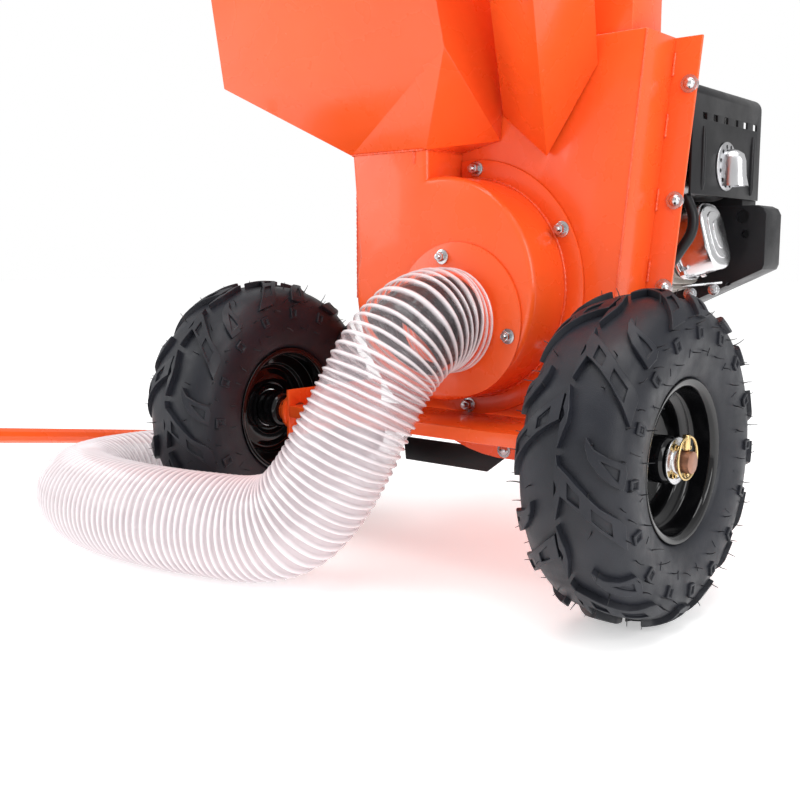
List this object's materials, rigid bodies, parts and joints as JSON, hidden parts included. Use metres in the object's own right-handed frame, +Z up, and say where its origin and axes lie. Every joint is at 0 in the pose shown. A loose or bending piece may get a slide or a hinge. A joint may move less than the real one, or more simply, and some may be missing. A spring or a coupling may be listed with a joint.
{
  "type": "wheeled chipper shredder vacuum",
  "caption": "Two-wheeled engine-driven chipper and shredder with a hopper, an upward discharge and a clear corrugated vacuum hose to a hand-held pickup nozzle.",
  "frame": {"origin": "ground level under the middle of the machine, measured without the free hose and what hangs on it", "axes": "+X along the axle to the right wheel, +Y from the hose port back to the engine, +Z up"},
  "size_m": [0.9741, 0.7611, 0.8287],
  "materials": {
    "tyre": "moulded rubber, satin",
    "rim": "gloss black enamel",
    "hub": "black enamel",
    "axle": "turned bar with brown oxide",
    "frame": "gloss orange powder coat",
    "pin": "yellow passivated spring wire",
    "fastener": "bright zinc plate",
    "rotor": "ground steel plate",
    "flap": "matt rubber sheet",
    "leg": "satin black enamel",
    "engine_casting": "black painted casting",
    "cylinder": "bare and satin plated casting",
    "exhaust": "heat dulled steel",
    "engine_guard": "satin black enamel",
    "engine_plastic": "black moulding",
    "hose": "clear flexible vinyl with a milky helix",
    "grip": "soft black moulding"
  },
  "bodies": {
    "chassis": {"axle_left": "axle", "axle_right": "axle", "axle_spacer_left": "frame", "axle_spacer_right": "frame", "lynch_pin_left": "pin", "lynch_pin_right": "pin", "frame_deck": "frame", "frame_side_left": "frame", "frame_side_right": "frame", "housing_band": "frame", "housing_front_panel": "frame", "engine_plate": "frame", "housing_lid": "frame", "casing_band": "frame", "casing_front": "frame", "casing_ring": "frame", "port_cover": "frame", "port_nut_1": "fastener", "port_nut_2": "fastener", "port_nut_3": "fastener", "hopper": "frame", "chipper_chute": "frame", "discharge_duct": "frame", "stone_guard": "flap", "engine_tray": "frame", "leg_bracket": "frame", "crankcase": "engine_casting", "cylinder_barrel": "cylinder", "valve_cover": "cylinder", "muffler": "exhaust", "muffler_guard": "engine_guard", "exhaust_outlet": "cylinder", "side_shroud": "engine_plastic", "fan_housing": "engine_plastic", "tank_stand": "engine_plastic", "fuel_tank": "engine_plastic", "air_cleaner": "engine_plastic", "carburettor": "cylinder", "hose": "hose", "pickup_nozzle": "engine_plastic", "nozzle_handle": "frame", "handle_grip": "grip"},
    "wheel_left": {"tyre_left": "tyre", "rim_left": "rim", "hub_left": "hub"},
    "wheel_right": {"tyre_right": "tyre", "rim_right": "rim", "hub_right": "hub"},
    "rotor": {"rotor_disc": "rotor", "rotor_shaft": "rotor"},
    "hammer_low": {"hammer_1": "rotor"},
    "hammer_high": {"hammer_2": "rotor"},
    "feed_flap": {"hopper_flap": "flap"},
    "hood": {"discharge_hood": "frame"},
    "leg": {"support_leg": "leg"},
    "tank_cap": {"fuel_cap": "engine_plastic"},
    "choke": {"choke_lever": "engine_plastic"},
    "throttle": {"throttle_lever": "fastener"},
    "switch": {"engine_switch": "engine_plastic"},
    "starter_grip": {"recoil_grip": "engine_plastic"}
  },
  "joints": [
    {"name": "wheel_left_spin", "type": "hinge", "parent": "chassis", "child": "wheel_left", "pos_m": [-0.273, -0.15305, 0.1665], "axis": [1, 0, 0], "continuous": true},
    {"name": "wheel_right_spin", "type": "hinge", "parent": "chassis", "child": "wheel_right", "pos_m": [0.273, -0.15305, 0.1665], "axis": [1, 0, 0], "continuous": true},
    {"name": "rotor_spin", "type": "hinge", "parent": "chassis", "child": "rotor", "pos_m": [0, -0.02205, 0.3256], "axis": [0, 1, 0], "continuous": true},
    {"name": "hammer_1_swing", "type": "hinge", "parent": "rotor", "child": "hammer_low", "pos_m": [0, -0.02205, 0.2556], "axis": [0, 1, 0], "range_deg": [-35, 35]},
    {"name": "hammer_2_swing", "type": "hinge", "parent": "rotor", "child": "hammer_high", "pos_m": [0, -0.02205, 0.3956], "axis": [0, 1, 0], "range_deg": [-35, 35]},
    {"name": "hopper_flap_swing", "type": "hinge", "parent": "chassis", "child": "feed_flap", "pos_m": [-0.0975, -0.07035, 0.78], "axis": [-1, 0, 0], "range_deg": [0, 40]},
    {"name": "discharge_hood_tilt", "type": "hinge", "parent": "chassis", "child": "hood", "pos_m": [0.054, -0.02705, 0.766], "axis": [0, -1, 0], "range_deg": [0, 50]},
    {"name": "support_leg_fold", "type": "hinge", "parent": "chassis", "child": "leg", "pos_m": [0, 0.25195, 0.1617], "axis": [-1, 0, 0], "range_deg": [0, 75]},
    {"name": "fuel_cap_turn", "type": "hinge", "parent": "chassis", "child": "tank_cap", "pos_m": [-0.02, 0.13695, 0.6461], "axis": [0, 0, 1], "range_deg": [0, 90]},
    {"name": "choke_turn", "type": "hinge", "parent": "chassis", "child": "choke", "pos_m": [-0.152, 0.12195, 0.395], "axis": [1, 0, 0], "range_deg": [0, 60]},
    {"name": "throttle_turn", "type": "hinge", "parent": "chassis", "child": "throttle", "pos_m": [-0.06, 0.22695, 0.4221], "axis": [0, 0, 1], "range_deg": [-25, 25]},
    {"name": "engine_switch_turn", "type": "hinge", "parent": "chassis", "child": "switch", "pos_m": [-0.042, 0.30755, 0.3676], "axis": [0, 1, 0], "range_deg": [0, 60]},
    {"name": "recoil_grip_pull", "type": "slide", "parent": "chassis", "child": "starter_grip", "axis": [0, 1, 0], "range_m": [0, 0.12], "stiffness_N_per_m": 30}
  ]
}
